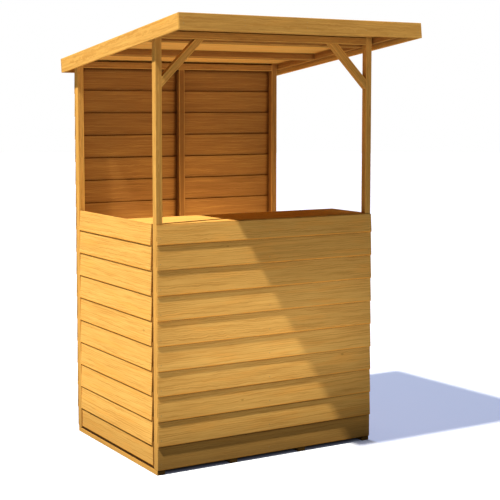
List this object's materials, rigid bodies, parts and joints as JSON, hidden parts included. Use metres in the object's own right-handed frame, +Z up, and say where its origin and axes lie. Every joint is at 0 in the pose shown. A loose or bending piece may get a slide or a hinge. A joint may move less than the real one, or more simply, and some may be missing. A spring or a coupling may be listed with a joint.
{
  "type": "garden bar",
  "caption": "Open-sided wooden garden bar with lapped board walls, a serving counter behind the low front wall and a gently pitched roof on slim posts.",
  "frame": {"origin": "on the ground, in the middle of the overall box", "axes": "+Z up, +X to the right seen from the serving side, +Y to the back"},
  "size_m": [1.3, 1.3106, 2.087],
  "materials": {
    "frame_timber": "honey-stained planed softwood",
    "lapped_boards": "honey-stained sawn softwood",
    "deck_boards": "honey-stained softwood boards",
    "fascia_boards": "honey-stained planed softwood",
    "roof_felt": "mineral felt, matte"
  },
  "bodies": {
    "root": {"floor_bearer_1": "frame_timber", "floor_bearer_2": "frame_timber", "floor_bearer_3": "frame_timber", "floor_bearer_4": "frame_timber", "floor_deck": "deck_boards", "front_left_post": "frame_timber", "front_right_post": "frame_timber", "front_bottom_rail": "frame_timber", "front_middle_stud": "frame_timber", "front_counter_rail": "frame_timber", "front_header": "frame_timber", "left_brace": "frame_timber", "right_brace": "frame_timber", "front_cladding": "lapped_boards", "left_front_stud": "frame_timber", "left_back_stud": "frame_timber", "left_bottom_rail": "frame_timber", "left_top_rail": "frame_timber", "left_cladding": "lapped_boards", "back_left_stud": "frame_timber", "back_middle_stud": "frame_timber", "back_right_stud": "frame_timber", "back_bottom_rail": "frame_timber", "back_top_rail": "frame_timber", "back_cladding": "lapped_boards", "counter_top": "deck_boards", "counter_ledger": "frame_timber", "counter_arm": "frame_timber", "counter_strut": "frame_timber", "roof_left_rafter": "frame_timber", "roof_right_rafter": "frame_timber", "roof_cross_rail_1": "frame_timber", "roof_cross_rail_2": "frame_timber", "roof_cross_rail_3": "frame_timber", "roof_cross_rail_4": "frame_timber", "roof_deck": "deck_boards", "roof_felt": "roof_felt", "front_fascia": "fascia_boards", "back_fascia": "fascia_boards", "left_fascia": "fascia_boards", "right_fascia": "fascia_boards"}
  },
  "joints": []
}
